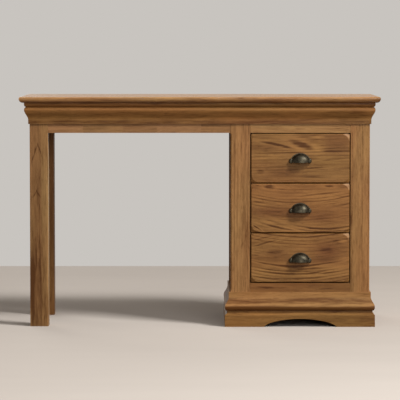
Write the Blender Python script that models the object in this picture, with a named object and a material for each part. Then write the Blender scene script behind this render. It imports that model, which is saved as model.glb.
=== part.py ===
"""An oak dressing table: a moulded top on two legs and on a pedestal of three drawers.

Lengths are in metres and +Z is up. The front faces -Y, +X is to the right of someone who
faces it, and the origin is on the floor under the middle of the top.
"""

import math

import bmesh
import bpy
from mathutils import Vector

# Overall sizes
TABLE_WIDTH = 1.220
TABLE_DEPTH = 0.455
TABLE_HEIGHT = 0.7795
TOP_THICKNESS = 0.020
NOSE_UPPER_RADIUS = 0.006
TOP_OVERHANG = 0.0345
TOP_BACK_OVERHANG = 0.003

# Gaps: between faces that are glued or screwed together, round a drawer front, beside a
# drawer's side and above it
GLUE_GAP = 0.0003
DRAWER_GAP = 0.0030
GUIDE_CLEARANCE = 0.0010
KICK_CLEARANCE = 0.0020

# Legs and the rails that join them
FRONT_LEG = 0.0615
BACK_LEG = 0.0615
RAIL_DEPTH = 0.1018
RAIL_THICKNESS = 0.022
RAIL_SETBACK = 0.001
BACK_RAIL_SETBACK = 0.012
TENON_LENGTH = 0.025
TENON_THICKNESS = 0.009
TENON_SHOULDER = 0.010
SIDE_TENON_LENGTH = 0.010
SHORT_TENON_LENGTH = 0.005
BATTEN = 0.020
BATTEN_INSET = 0.030
EDGE_ROUND = 0.007
EDGE_RUN_OUT = 0.008
SHARP_EDGE = 0.0004

# Pedestal
PEDESTAL_WIDTH = 0.472
LEFT_STILE_WIDTH = 0.067
RIGHT_STILE_WIDTH = 0.065
STILE_THICKNESS = 0.022
SIDE_THICKNESS = 0.018
TONGUE_LENGTH = 0.008
TONGUE_THICKNESS = 0.008
TONGUE_STOP = 0.020
OPENING_BOTTOM = 0.1474
BOTTOM_RAIL_DEPTH = 0.060
BASE_BOARD_THICKNESS = 0.012
BASE_BOARD_LIFT = 0.006
HOUSING_DEPTH = 0.006
BACK_PANEL_THICKNESS = 0.008
BACK_PANEL_RECESS = 0.002
BACK_PANEL_BOTTOM = 0.040
REBATE_DEPTH = 0.008
BACK_RAIL_THICKNESS = 0.020
BACK_RAIL_DEPTH = 0.060
FOOT_RAIL_DEPTH = 0.080

# Cornice under the top, as heights below it and projections from the carcass
CORNICE_HEIGHT = 0.0714
CORNICE_PROJECTION = 0.0177
CORNICE_FOOT = 0.0045
CORNICE_FOOT_HEIGHT = 0.0142
CORNICE_BEAD_DROP = 0.0234
CORNICE_GROOVE_DROP = 0.0138
CORNICE_GROOVE = 0.0105
CORNICE_FILLET = 0.0055

# Moulding and plinth round the foot of the pedestal
PLINTH_HEIGHT = 0.0542
PLINTH_PROJECTION = 0.0185
PLINTH_NECK = 0.0107
PLINTH_NECK_HEIGHT = 0.0072
PLINTH_CHAMFER_HEIGHT = 0.0076
MOULDING_HEIGHT = 0.0628
MOULDING_TOP = 0.0050
MOULDING_FLAT = 0.0174
MOULDING_NOSE_HEIGHT = 0.0128
ARCH_WIDTH = 0.244
ARCH_HEIGHT = 0.0272
ARCH_SHARPNESS = 1.25

# Drawers
DRAWER_NAMES = ("top", "middle", "bottom")
DRAWER_PROUD = 0.001
FRONT_THICKNESS = 0.020
FRONT_ARRIS = 0.0025
FRONT_FACET_DEPTH = 0.005
FRONT_EDGE_RADIUS = 0.005
FRONT_FACE_RADIUS = 0.024
DRAWER_SIDE_THICKNESS = 0.012
DRAWER_SIDE_LIFT = 0.008
DRAWER_BACK_THICKNESS = 0.012
DRAWER_BACK_DROP = 0.005
DRAWER_BACK_INSET = 0.010
DRAWER_BACK_HOUSING = 0.004
DRAWER_BOTTOM_THICKNESS = 0.006
DRAWER_GROOVE_DEPTH = 0.005
DRAWER_GROOVE_LIFT = 0.008
TAIL_COUNT = 4
TAIL_LENGTH = 0.0145
TAIL_SHARE = 0.72
TAIL_SLOPE = 1 / 6

# Runners that carry the drawers
RUNNER_THICKNESS = 0.016
RUNNER_LEDGE = 0.010
GUIDE_HEIGHT = 0.025
STOP_LENGTH = 0.020
KICKER_THICKNESS = 0.020

# Cup handles and their screws
CUP_HALF_WIDTH = 0.0325
CUP_HEIGHT = 0.0300
CUP_PROJECTION = 0.0230
CUP_DROP = 0.0144
CUP_WALL = 0.0020
CUP_TIP_ANGLE = math.radians(5)
FLANGE_WIDTH = 0.0025
FLANGE_THICKNESS = 0.0018
HANDLE_SCREW_SPACING = 0.064
EAR_RADIUS = 0.0062
EAR_STRETCH = 1.35
EAR_DEPTH = 0.0095
EAR_CROWN = 0.0035
EAR_LIFT = 0.0060
SCREW_RADIUS = 0.0020
SCREW_CLEARANCE = 0.0003
SCREW_GRIP = 0.0070
SCREW_TIP = 0.0012
SCREW_HEAD_RADIUS = 0.0042
SCREW_HEAD_HEIGHT = 0.0026

# How finely curves are divided
NOSE_STEPS = 6
OGEE_STEPS = 8
BEAD_STEPS = 4
ARCH_STEPS = 20
CORNER_STEPS = 8
FACET_STEPS = 3
EDGE_STEPS = 4
CUP_STEPS = 20
CUP_ROUND_STEPS = 24
EAR_STEPS = 16
SCREW_STEPS = 12

# Places that follow from the sizes
CARCASS_LEFT = -TABLE_WIDTH / 2 + TOP_OVERHANG
CARCASS_RIGHT = TABLE_WIDTH / 2 - TOP_OVERHANG
CARCASS_FRONT = -TABLE_DEPTH / 2 + TOP_OVERHANG
CARCASS_BACK = TABLE_DEPTH / 2 - TOP_BACK_OVERHANG
CARCASS_TOP = TABLE_HEIGHT - TOP_THICKNESS - GLUE_GAP
RAIL_BOTTOM = CARCASS_TOP - RAIL_DEPTH
PEDESTAL_LEFT = CARCASS_RIGHT - PEDESTAL_WIDTH
OPENING_LEFT = PEDESTAL_LEFT + LEFT_STILE_WIDTH
OPENING_RIGHT = CARCASS_RIGHT - RIGHT_STILE_WIDTH
OPENING_CENTRE = (OPENING_LEFT + OPENING_RIGHT) / 2
STILE_BACK = CARCASS_FRONT + STILE_THICKNESS
INNER_LEFT = PEDESTAL_LEFT + SIDE_THICKNESS
INNER_RIGHT = CARCASS_RIGHT - SIDE_THICKNESS
BACK_PANEL_BACK = CARCASS_BACK - BACK_PANEL_RECESS
BACK_PANEL_FRONT = BACK_PANEL_BACK - BACK_PANEL_THICKNESS
INNER_BACK = BACK_PANEL_FRONT - GLUE_GAP
BACK_RAIL_BACK = CARCASS_BACK - BACK_RAIL_SETBACK
BOTTOM_RAIL_BOTTOM = OPENING_BOTTOM - BOTTOM_RAIL_DEPTH
BASE_BOARD_BOTTOM = BOTTOM_RAIL_BOTTOM + BASE_BOARD_LIFT
MOULDING_TOP_EDGE = PLINTH_HEIGHT + GLUE_GAP + MOULDING_HEIGHT

# Drawer sizes, worked out from the opening
DRAWER_COUNT = len(DRAWER_NAMES)
OPENING_HEIGHT = RAIL_BOTTOM - OPENING_BOTTOM
FRONT_HEIGHT = (OPENING_HEIGHT - (DRAWER_COUNT + 1) * DRAWER_GAP) / DRAWER_COUNT
DRAWER_PITCH = FRONT_HEIGHT + DRAWER_GAP
FRONT_WIDTH = OPENING_RIGHT - OPENING_LEFT - 2 * DRAWER_GAP
DRAWER_FACE = CARCASS_FRONT - DRAWER_PROUD
DRAWER_SIDE_END = INNER_BACK - STOP_LENGTH - DRAWER_FACE
DRAWER_SIDE_HEIGHT = DRAWER_PITCH - RUNNER_THICKNESS - KICK_CLEARANCE - GLUE_GAP
SIDE_INNER = FRONT_WIDTH / 2 - DRAWER_SIDE_THICKNESS
GROOVE_BOTTOM = DRAWER_SIDE_LIFT + DRAWER_GROOVE_LIFT
GROOVE_TOP = GROOVE_BOTTOM + DRAWER_BOTTOM_THICKNESS + 2 * GLUE_GAP
BACK_OF_DRAWER_BACK = DRAWER_SIDE_END - DRAWER_BACK_INSET
FRONT_OF_DRAWER_BACK = BACK_OF_DRAWER_BACK - DRAWER_BACK_THICKNESS
SCREW_HOLE_RADIUS = SCREW_RADIUS + SCREW_CLEARANCE
CUP_BASE = FRONT_HEIGHT / 2 - CUP_DROP


def clear_scene():
    for old in list(bpy.data.objects):
        bpy.data.objects.remove(old)


def make_material(name, colour, roughness, metallic=0.0):
    material = bpy.data.materials.new(name)
    material.use_nodes = True
    shader = material.node_tree.nodes["Principled BSDF"]
    shader.inputs["Base Color"].default_value = (*colour, 1.0)
    shader.inputs["Roughness"].default_value = roughness
    shader.inputs["Metallic"].default_value = metallic
    return material


def place(name, mesh, material, parent=None, smooth=False):
    """Puts a finished mesh in the scene as the sub-part called name."""
    if not mesh.materials:
        mesh.materials.append(material)
    if smooth:
        mesh.shade_smooth()
        mesh.set_sharp_from_angle(angle=math.radians(35))
    part = bpy.data.objects.new(name, mesh)
    part.parent = parent
    bpy.context.scene.collection.objects.link(part)
    return part


def mesh_of(points, faces, name="shape"):
    """A closed mesh from points and faces, with every face turned outwards."""
    shape = bmesh.new()
    corners = [shape.verts.new(point) for point in points]
    for face in faces:
        shape.faces.new([corners[index] for index in face])
    bmesh.ops.recalc_face_normals(shape, faces=shape.faces)
    mesh = bpy.data.meshes.new(name)
    shape.to_mesh(mesh)
    shape.free()
    return mesh


def skin(rings):
    """Joins rings of the same number of points, one after another, and caps the two ends."""
    count = len(rings[0])
    points = [point for ring in rings for point in ring]
    faces = [list(range(count)), list(range(len(points) - count, len(points)))]
    for start in range(0, len(points) - count, count):
        for index in range(count):
            after = (index + 1) % count
            faces.append(
                (start + index, start + after, start + count + after, start + count + index)
            )
    return mesh_of(points, faces)


def loft(axis, sections):
    """Rectangles at places along an axis, as (place, low corner, high corner), joined up."""

    def ring(place_on_axis, low, high):
        flat = [(low[0], low[1]), (high[0], low[1]), (high[0], high[1]), (low[0], high[1])]
        return [point[:axis] + (place_on_axis,) + point[axis:] for point in flat]

    return skin([ring(*section) for section in sections])


def box(low, high):
    return loft(2, [(low[2], low[:2], high[:2]), (high[2], low[:2], high[:2])])


def bar(axis, outline, start, end):
    """An outline pushed along an axis, between two places that may depend on its points."""

    def ring(reach):
        return [point[:axis] + (reach(point),) + point[axis:] for point in outline]

    return skin([ring(start), ring(end)])


def straight_bar(axis, outline, start, end):
    return bar(axis, outline, lambda point: start, lambda point: end)


def cylinder(centre, radius, start, end, steps):
    """A round bar along Y, with its centre given as (x, z)."""
    turns = [math.tau * step / steps for step in range(steps)]
    outline = [
        (centre[0] + radius * math.cos(turn), centre[1] + radius * math.sin(turn))
        for turn in turns
    ]
    return straight_bar(1, outline, start, end)


def boolean(mesh, tools, operation):
    """Cuts tools from a mesh, or joins them to it, and gives back the finished mesh."""
    scene = bpy.context.scene.collection
    work = bpy.data.objects.new("work", mesh)
    scene.objects.link(work)
    helpers = []
    for tool in tools:
        helper = bpy.data.objects.new("tool", tool)
        scene.objects.link(helper)
        helpers.append(helper)
        modifier = work.modifiers.new("boolean", "BOOLEAN")
        modifier.solver = "EXACT"
        modifier.operation = operation
        modifier.object = helper
    graph = bpy.context.evaluated_depsgraph_get()
    graph.update()
    result = bpy.data.meshes.new_from_object(work.evaluated_get(graph))
    for used in [work, *helpers]:
        bpy.data.objects.remove(used)
    return result


def cut(mesh, *tools):
    return boolean(mesh, tools, "DIFFERENCE")


def join(mesh, *tools):
    return boolean(mesh, tools, "UNION")


def tenon_limits(low, high):
    """The two cross-section corners of a tenon in the middle of a rail's section."""
    middle = (low[0] + high[0]) / 2
    return (
        (middle - TENON_THICKNESS / 2, low[1] + TENON_SHOULDER),
        (middle + TENON_THICKNESS / 2, high[1] - TENON_SHOULDER),
    )


def tenoned_rail(axis, start, end, low, high, start_tenon, end_tenon):
    """A rail between two shoulders, with a tenon beyond each. low and high are (across, z)."""
    small = tenon_limits(low, high)
    return loft(
        axis,
        [
            (start - start_tenon, *small),
            (start, *small),
            (start, low, high),
            (end, low, high),
            (end, *small),
            (end + end_tenon, *small),
        ],
    )


def mortise(axis, mouth, depth, low, high):
    """The hole that takes a tenon: depth is signed, and runs from the mouth into the wood."""
    small_low, small_high = tenon_limits(low, high)
    over = math.copysign(GLUE_GAP, depth)
    start, end = sorted((mouth - 3 * over, mouth + depth + over))
    grown_low = tuple(value - GLUE_GAP for value in small_low)
    grown_high = tuple(value + GLUE_GAP for value in small_high)
    return loft(axis, [(start, grown_low, grown_high), (end, grown_low, grown_high)])


def smooth_rise(share):
    """An S curve that is level at both ends, from 0 to 1."""
    return share * share * (3 - 2 * share)


def nose_sections():
    """Heights and insets up the nose of the top: a large round below a small one."""
    widest = TABLE_HEIGHT - NOSE_UPPER_RADIUS
    found = []
    for radius, first, last in (
        (TOP_THICKNESS - NOSE_UPPER_RADIUS, -NOSE_STEPS, 0),
        (NOSE_UPPER_RADIUS, 1, NOSE_STEPS),
    ):
        for step in range(first, last + 1):
            turn = math.pi / 2 * step / NOSE_STEPS
            found.append((widest + radius * math.sin(turn), radius * (1 - math.cos(turn))))
    return found


def table_top(material):
    """A board with a round nose at the front and both ends, and a square back edge."""
    sections = []
    for height, inset in nose_sections():
        half = TABLE_WIDTH / 2 - inset
        low = (-half, -TABLE_DEPTH / 2 + inset)
        sections.append((height, low, (half, TABLE_DEPTH / 2)))
    place("table_top", loft(2, sections), material, smooth=True)


def cornice_outline():
    """The cornice's section as (projection, z), from its top back edge round to its foot."""
    top = CARCASS_TOP
    groove = top - CORNICE_GROOVE_DROP
    bead = top - CORNICE_BEAD_DROP
    foot = top - CORNICE_HEIGHT
    points = [(GLUE_GAP, top), (CORNICE_PROJECTION, top)]
    for step in range(BEAD_STEPS + 1):
        turn = math.pi / 2 * step / BEAD_STEPS
        reach = CORNICE_PROJECTION - CORNICE_GROOVE
        drop = CORNICE_GROOVE_DROP - CORNICE_FILLET
        points.append(
            (CORNICE_GROOVE + reach * math.cos(turn), groove + drop * (1 - math.sin(turn)))
        )
    for step in range(1, BEAD_STEPS + 1):
        turn = math.pi / 2 * (1 - step / BEAD_STEPS)
        reach = CORNICE_PROJECTION - CORNICE_GROOVE
        points.append(
            (CORNICE_GROOVE + reach * math.cos(turn), bead + (groove - bead) * math.sin(turn))
        )
    for step in range(1, OGEE_STEPS + 1):
        share = 1 - step / OGEE_STEPS
        reach = CORNICE_PROJECTION - CORNICE_FOOT
        low = foot + CORNICE_FOOT_HEIGHT
        points.append((CORNICE_FOOT + reach * smooth_rise(share), low + (bead - low) * share))
    points += [(CORNICE_FOOT, foot), (GLUE_GAP, foot)]
    return points


def moulding_outline():
    """The base moulding's section as (projection, z), from its top back edge round."""
    foot = PLINTH_HEIGHT + GLUE_GAP
    top = foot + MOULDING_HEIGHT
    flat = top - MOULDING_FLAT
    nose = foot + MOULDING_NOSE_HEIGHT
    points = [(GLUE_GAP, top), (MOULDING_TOP, top)]
    for step in range(OGEE_STEPS + 1):
        share = step / OGEE_STEPS
        reach = PLINTH_PROJECTION - MOULDING_TOP
        points.append((MOULDING_TOP + reach * smooth_rise(share), flat + (nose - flat) * share))
    for step in range(1, BEAD_STEPS + 1):
        turn = math.pi / 2 * step / BEAD_STEPS
        reach = PLINTH_PROJECTION - PLINTH_NECK
        points.append(
            (PLINTH_NECK + reach * math.cos(turn), nose + (foot - nose) * math.sin(turn))
        )
    points.append((GLUE_GAP, foot))
    return points


def plinth_outline():
    """The plinth's section as (projection, z): a short neck, a bevel, then the flat face."""
    neck = PLINTH_HEIGHT - PLINTH_NECK_HEIGHT
    return [
        (GLUE_GAP, PLINTH_HEIGHT),
        (PLINTH_NECK, PLINTH_HEIGHT),
        (PLINTH_NECK, neck),
        (PLINTH_PROJECTION, neck - PLINTH_CHAMFER_HEIGHT),
        (PLINTH_PROJECTION, 0.0),
        (GLUE_GAP, 0.0),
    ]


def mitred_front(outline, left, right):
    """A moulding along the front, mitred where it meets the two that run back."""
    across = [(CARCASS_FRONT - out, height) for out, height in outline]

    def out_of(point):
        return CARCASS_FRONT - point[0]

    return bar(
        0, across, lambda point: left - out_of(point), lambda point: right + out_of(point)
    )


def mitred_side(outline, edge, direction):
    """A moulding that runs back along a side: direction is -1 on the left and 1 on the right."""
    across = [(edge + direction * out, height) for out, height in outline]
    mitre_gap = GLUE_GAP * math.sqrt(2)

    def front_end(point):
        return CARCASS_FRONT - abs(point[0] - edge) + mitre_gap

    return bar(1, across, front_end, lambda point: CARCASS_BACK)


def mouldings(prefix, outline, left, right, material):
    """The left and right lengths of a moulding. The front one is placed by its caller."""
    place(prefix + "_left", mitred_side(outline, left, -1), material, smooth=True)
    place(prefix + "_right", mitred_side(outline, right, 1), material, smooth=True)


def arch_cutter():
    """The space under the arch in the plinth: close to half an ellipse, through the board."""
    half = ARCH_WIDTH / 2
    outline = [(OPENING_CENTRE + half, -ARCH_HEIGHT), (OPENING_CENTRE - half, -ARCH_HEIGHT)]
    for step in range(ARCH_STEPS + 1):
        turn = math.pi / 2 * (2 * step / ARCH_STEPS - 1)
        height = ARCH_HEIGHT * max(math.cos(turn), 0.0) ** ARCH_SHARPNESS
        outline.append((OPENING_CENTRE + half * math.sin(turn), height))
    front = CARCASS_FRONT - 2 * PLINTH_PROJECTION
    return straight_bar(1, outline, front, CARCASS_FRONT + PLINTH_PROJECTION)


def cornice(material):
    outline = cornice_outline()
    front = mitred_front(outline, CARCASS_LEFT, CARCASS_RIGHT)
    place("cornice_front", front, material, smooth=True)
    mouldings("cornice", outline, CARCASS_LEFT, CARCASS_RIGHT, material)


def base(material):
    outline = moulding_outline()
    front = mitred_front(outline, PEDESTAL_LEFT, CARCASS_RIGHT)
    place("base_moulding_front", front, material, smooth=True)
    mouldings("base_moulding", outline, PEDESTAL_LEFT, CARCASS_RIGHT, material)
    board = mitred_front(plinth_outline(), PEDESTAL_LEFT, CARCASS_RIGHT)
    place("plinth_front", cut(board, arch_cutter()), material)
    mouldings("plinth", plinth_outline(), PEDESTAL_LEFT, CARCASS_RIGHT, material)


def rail_section(front):
    """The corners, as (y, z), of a rail under the top whose front face is at front."""
    return (front, RAIL_BOTTOM), (front + RAIL_THICKNESS, CARCASS_TOP)


def side_rail_section():
    left = CARCASS_LEFT + RAIL_SETBACK
    return (left, RAIL_BOTTOM), (left + RAIL_THICKNESS, CARCASS_TOP)


FRONT_RAIL_SECTION = rail_section(CARCASS_FRONT + RAIL_SETBACK)
BACK_RAIL_SECTION = rail_section(BACK_RAIL_BACK - RAIL_THICKNESS)
SIDE_RAIL_SECTION = side_rail_section()


def rounded_post(low, high, side, bottom):
    """A post whose front edge on one side, -1 or 1, is round from a height up to the rails."""
    edge, other = (high[0], low[0]) if side > 0 else (low[0], high[0])
    stops = [(RAIL_BOTTOM - EDGE_RUN_OUT, EDGE_ROUND), (RAIL_BOTTOM, SHARP_EDGE)]
    stops.append((high[2], SHARP_EDGE))
    if bottom > low[2]:
        foot = [(low[2], SHARP_EDGE), (bottom, SHARP_EDGE), (bottom + EDGE_RUN_OUT, EDGE_ROUND)]
    else:
        foot = [(low[2], EDGE_ROUND)]
    rings = []
    for height, radius in foot + stops:
        ring = [(edge, high[1], height), (other, high[1], height), (other, low[1], height)]
        for step in range(EDGE_STEPS + 1):
            turn = math.pi / 2 * step / EDGE_STEPS
            across = edge - side * radius * (1 - math.sin(turn))
            ring.append((across, low[1] + radius * (1 - math.cos(turn)), height))
        rings.append(ring)
    return skin(rings)


def legs(material):
    right = CARCASS_LEFT + FRONT_LEG
    back = CARCASS_FRONT + FRONT_LEG
    place(
        "front_left_leg",
        cut(
            rounded_post((CARCASS_LEFT, CARCASS_FRONT, 0), (right, back, CARCASS_TOP), 1, 0),
            mortise(0, right, -TENON_LENGTH, *FRONT_RAIL_SECTION),
            mortise(1, back, -TENON_LENGTH, *SIDE_RAIL_SECTION),
        ),
        material,
    )
    right = CARCASS_LEFT + BACK_LEG
    front = CARCASS_BACK - BACK_LEG
    place(
        "back_left_leg",
        cut(
            box((CARCASS_LEFT, front, 0), (right, CARCASS_BACK, CARCASS_TOP)),
            mortise(0, right, -TENON_LENGTH, *BACK_RAIL_SECTION),
            mortise(1, front, TENON_LENGTH, *SIDE_RAIL_SECTION),
        ),
        material,
    )


def table_rails(material):
    """The three rails under the top outside the pedestal, and the battens that hold the top."""
    place(
        "kneehole_front_rail",
        tenoned_rail(
            0,
            CARCASS_LEFT + FRONT_LEG + GLUE_GAP,
            PEDESTAL_LEFT - GLUE_GAP,
            *FRONT_RAIL_SECTION,
            TENON_LENGTH,
            TENON_LENGTH,
        ),
        material,
    )
    place(
        "kneehole_back_rail",
        tenoned_rail(
            0,
            CARCASS_LEFT + BACK_LEG + GLUE_GAP,
            PEDESTAL_LEFT - GLUE_GAP,
            *BACK_RAIL_SECTION,
            TENON_LENGTH,
            SIDE_TENON_LENGTH,
        ),
        material,
    )
    place(
        "left_side_rail",
        tenoned_rail(
            1,
            CARCASS_FRONT + FRONT_LEG + GLUE_GAP,
            CARCASS_BACK - BACK_LEG - GLUE_GAP,
            *SIDE_RAIL_SECTION,
            TENON_LENGTH,
            TENON_LENGTH,
        ),
        material,
    )
    left = CARCASS_LEFT + FRONT_LEG + BATTEN_INSET
    right = PEDESTAL_LEFT - BATTEN_INSET
    front = FRONT_RAIL_SECTION[1][0] + GLUE_GAP
    back = BACK_RAIL_SECTION[0][0] - GLUE_GAP
    low = CARCASS_TOP - BATTEN
    place(
        "front_fixing_batten", box((left, front, low), (right, front + BATTEN, CARCASS_TOP)), material
    )
    place(
        "back_fixing_batten", box((left, back - BATTEN, low), (right, back, CARCASS_TOP)), material
    )


def face_rail_section(bottom, top):
    return (CARCASS_FRONT, bottom), (STILE_BACK, top)


TOP_RAIL_SECTION = face_rail_section(RAIL_BOTTOM, CARCASS_TOP)
BOTTOM_RAIL_SECTION = face_rail_section(BOTTOM_RAIL_BOTTOM, OPENING_BOTTOM)
TONGUE_BOTTOM = TONGUE_STOP
TONGUE_TOP = RAIL_BOTTOM - TONGUE_STOP


def tongue_groove(middle):
    """The groove down the back of a stile for the tongue on the side panel's front edge."""
    reach = TONGUE_THICKNESS / 2 + GLUE_GAP
    return box(
        (middle - reach, STILE_BACK - TONGUE_LENGTH, TONGUE_BOTTOM - GLUE_GAP),
        (middle + reach, STILE_BACK + TONGUE_LENGTH, TONGUE_TOP + GLUE_GAP),
    )


def face_frame(material):
    left_cuts = [
        mortise(0, OPENING_LEFT, -TENON_LENGTH, *TOP_RAIL_SECTION),
        mortise(0, OPENING_LEFT, -TENON_LENGTH, *BOTTOM_RAIL_SECTION),
        mortise(0, PEDESTAL_LEFT, TENON_LENGTH, *FRONT_RAIL_SECTION),
        tongue_groove(PEDESTAL_LEFT + SIDE_THICKNESS / 2),
    ]
    right_cuts = [
        mortise(0, OPENING_RIGHT, TENON_LENGTH, *TOP_RAIL_SECTION),
        mortise(0, OPENING_RIGHT, TENON_LENGTH, *BOTTOM_RAIL_SECTION),
        tongue_groove(CARCASS_RIGHT - SIDE_THICKNESS / 2),
    ]
    low, high = (PEDESTAL_LEFT, CARCASS_FRONT, 0), (OPENING_LEFT, STILE_BACK, CARCASS_TOP)
    left_stile = rounded_post(low, high, -1, MOULDING_TOP_EDGE)
    place("pedestal_left_stile", cut(left_stile, *left_cuts), material)
    right_stile = box((OPENING_RIGHT, CARCASS_FRONT, 0), (CARCASS_RIGHT, STILE_BACK, CARCASS_TOP))
    place("pedestal_right_stile", cut(right_stile, *right_cuts), material)
    for name, section in (
        ("pedestal_top_rail", TOP_RAIL_SECTION),
        ("pedestal_bottom_rail", BOTTOM_RAIL_SECTION),
    ):
        start, end = OPENING_LEFT + GLUE_GAP, OPENING_RIGHT - GLUE_GAP
        rail = tenoned_rail(0, start, end, *section, TENON_LENGTH, TENON_LENGTH)
        place(name, rail, material)


INNER_RAIL_FRONT = INNER_BACK - BACK_RAIL_THICKNESS
BACK_TOP_RAIL_SECTION = (
    (INNER_RAIL_FRONT, CARCASS_TOP - BACK_RAIL_DEPTH),
    (INNER_BACK, CARCASS_TOP),
)
FOOT_RAIL_SECTION = (INNER_RAIL_FRONT, 0.0), (INNER_BACK, FOOT_RAIL_DEPTH)


def side_panel(name, outer, inner, material, extra_cuts=()):
    """One side of the pedestal: a board with a tongue in front and housings on its inner face."""
    into = math.copysign(1, inner - outer)
    low, high = sorted((outer, inner))
    middle = (low + high) / 2
    reach = TONGUE_THICKNESS / 2
    shoulder = STILE_BACK + GLUE_GAP
    tip = shoulder - TONGUE_LENGTH
    tongue = (middle - reach, TONGUE_BOTTOM), (middle + reach, TONGUE_TOP)
    whole = (low, 0.0), (high, CARCASS_TOP)
    board = loft(
        1, [(tip, *tongue), (shoulder, *tongue), (shoulder, *whole), (CARCASS_BACK, *whole)]
    )

    def inner_cut(depth, front, back, bottom, top):
        sides = sorted((inner - into * depth, inner + into * SIDE_THICKNESS))
        return box((sides[0], front, bottom), (sides[1], back, top))

    rebate = inner_cut(
        REBATE_DEPTH, INNER_BACK, CARCASS_BACK + REBATE_DEPTH, -REBATE_DEPTH, TABLE_HEIGHT
    )
    housing = inner_cut(
        HOUSING_DEPTH,
        STILE_BACK,
        INNER_BACK + REBATE_DEPTH / 2,
        BASE_BOARD_BOTTOM - GLUE_GAP,
        BASE_BOARD_BOTTOM + BASE_BOARD_THICKNESS + GLUE_GAP,
    )
    cuts = [
        rebate,
        housing,
        mortise(0, inner, -into * SHORT_TENON_LENGTH, *BACK_TOP_RAIL_SECTION),
        mortise(0, inner, -into * SHORT_TENON_LENGTH, *FOOT_RAIL_SECTION),
        *extra_cuts,
    ]
    place(name, cut(board, *cuts), material)


def pedestal_box(oak, panel):
    """Sides, back rails, base board and back panel: what stands behind the face frame."""
    back_rail_mortise = mortise(0, PEDESTAL_LEFT, SIDE_TENON_LENGTH, *BACK_RAIL_SECTION)
    side_panel("pedestal_left_side", PEDESTAL_LEFT, INNER_LEFT, oak, [back_rail_mortise])
    side_panel("pedestal_right_side", CARCASS_RIGHT, INNER_RIGHT, oak)
    for name, section in (
        ("pedestal_back_top_rail", BACK_TOP_RAIL_SECTION),
        ("pedestal_back_foot_rail", FOOT_RAIL_SECTION),
    ):
        start, end = INNER_LEFT + GLUE_GAP, INNER_RIGHT - GLUE_GAP
        rail = tenoned_rail(
            0, start, end, *section, SHORT_TENON_LENGTH, SHORT_TENON_LENGTH
        )
        place(name, rail, oak)
    reach = HOUSING_DEPTH - GLUE_GAP
    board = box(
        (INNER_LEFT - reach, STILE_BACK + GLUE_GAP, BASE_BOARD_BOTTOM),
        (INNER_RIGHT + reach, INNER_BACK, BASE_BOARD_BOTTOM + BASE_BOARD_THICKNESS),
    )
    place("pedestal_base_board", board, panel)
    reach = REBATE_DEPTH - GLUE_GAP
    back = box(
        (INNER_LEFT - reach, BACK_PANEL_FRONT, BACK_PANEL_BOTTOM),
        (INNER_RIGHT + reach, BACK_PANEL_BACK, CARCASS_TOP),
    )
    place("pedestal_back_panel", back, panel)


def front_bottom(index):
    """Height of a drawer front's lower edge, counting drawers from the top."""
    return OPENING_BOTTOM + DRAWER_GAP + (DRAWER_COUNT - 1 - index) * DRAWER_PITCH


def runners(material):
    """A rebated runner under each drawer side, with a stop at its back, and two kickers."""
    front = STILE_BACK + GLUE_GAP
    stop = DRAWER_FACE + DRAWER_SIDE_END + GLUE_GAP
    for side, inner, edge, into in (
        ("left", INNER_LEFT + GLUE_GAP, OPENING_LEFT + DRAWER_GAP, 1),
        ("right", INNER_RIGHT - GLUE_GAP, OPENING_RIGHT - DRAWER_GAP, -1),
    ):
        guide = edge - into * GUIDE_CLEARANCE
        ledge = edge + into * RUNNER_LEDGE
        left, right = sorted((inner, ledge))
        for index, name in enumerate(DRAWER_NAMES):
            seat = front_bottom(index) + DRAWER_SIDE_LIFT - GLUE_GAP
            bottom, top = seat - RUNNER_THICKNESS, seat + GUIDE_HEIGHT
            blank = box((left, front, bottom), (right, INNER_BACK, top))
            cut_left, cut_right = sorted((guide, ledge + into * RUNNER_LEDGE))
            channel = box(
                (cut_left, front - GUIDE_HEIGHT, seat), (cut_right, stop, top + GUIDE_HEIGHT)
            )
            place(f"{name}_{side}_runner", cut(blank, channel), material)
        bottom = front_bottom(0) + DRAWER_SIDE_LIFT + DRAWER_SIDE_HEIGHT + KICK_CLEARANCE
        kicker = box((left, front, bottom), (right, INNER_BACK, bottom + KICKER_THICKNESS))
        place(f"{side}_kicker", kicker, material)


def rounded_ring(depth, inset, radius):
    """A rectangle with round corners, the size of a drawer front less inset, at a depth."""
    right, top = FRONT_WIDTH / 2 - inset, FRONT_HEIGHT - inset
    ring = []
    for corner, (x, z) in enumerate(
        (
            (right - radius, top - radius),
            (radius - right, top - radius),
            (radius - right, inset + radius),
            (right - radius, inset + radius),
        )
    ):
        for step in range(CORNER_STEPS + 1):
            turn = math.pi / 2 * (corner + step / CORNER_STEPS)
            ring.append((x + radius * math.cos(turn), depth, z + radius * math.sin(turn)))
    return ring


def drawer_front_blank():
    """A front whose edges are eased round, and whose corners are cut back to one flat slope."""
    diagonal = math.sqrt(2)
    facet_width = FRONT_ARRIS * diagonal + (FRONT_FACE_RADIUS - FRONT_EDGE_RADIUS) * (diagonal - 1)
    rings = [rounded_ring(FRONT_THICKNESS, 0.0, FRONT_EDGE_RADIUS)]
    for step in range(FACET_STEPS + 1):
        turn = math.pi / 2 * step / FACET_STEPS
        rise = math.sin(turn)
        inset = FRONT_ARRIS * (1 - math.cos(turn))
        radius = FRONT_EDGE_RADIUS + (facet_width * rise - inset * diagonal) / (diagonal - 1)
        rings.append(rounded_ring(FRONT_FACET_DEPTH * (1 - rise), inset, radius))
    return skin(rings)


def tails():
    """The dovetails on a drawer side as (root low, tip low, tip high, root high) heights."""
    pitch = DRAWER_SIDE_HEIGHT / TAIL_COUNT
    tip = pitch * TAIL_SHARE / 2
    root = tip - TAIL_LENGTH * TAIL_SLOPE
    found = []
    for index in range(TAIL_COUNT):
        middle = DRAWER_SIDE_LIFT + pitch * (index + 0.5)
        found.append((middle - root, middle - tip, middle + tip, middle + root))
    return found


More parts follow.
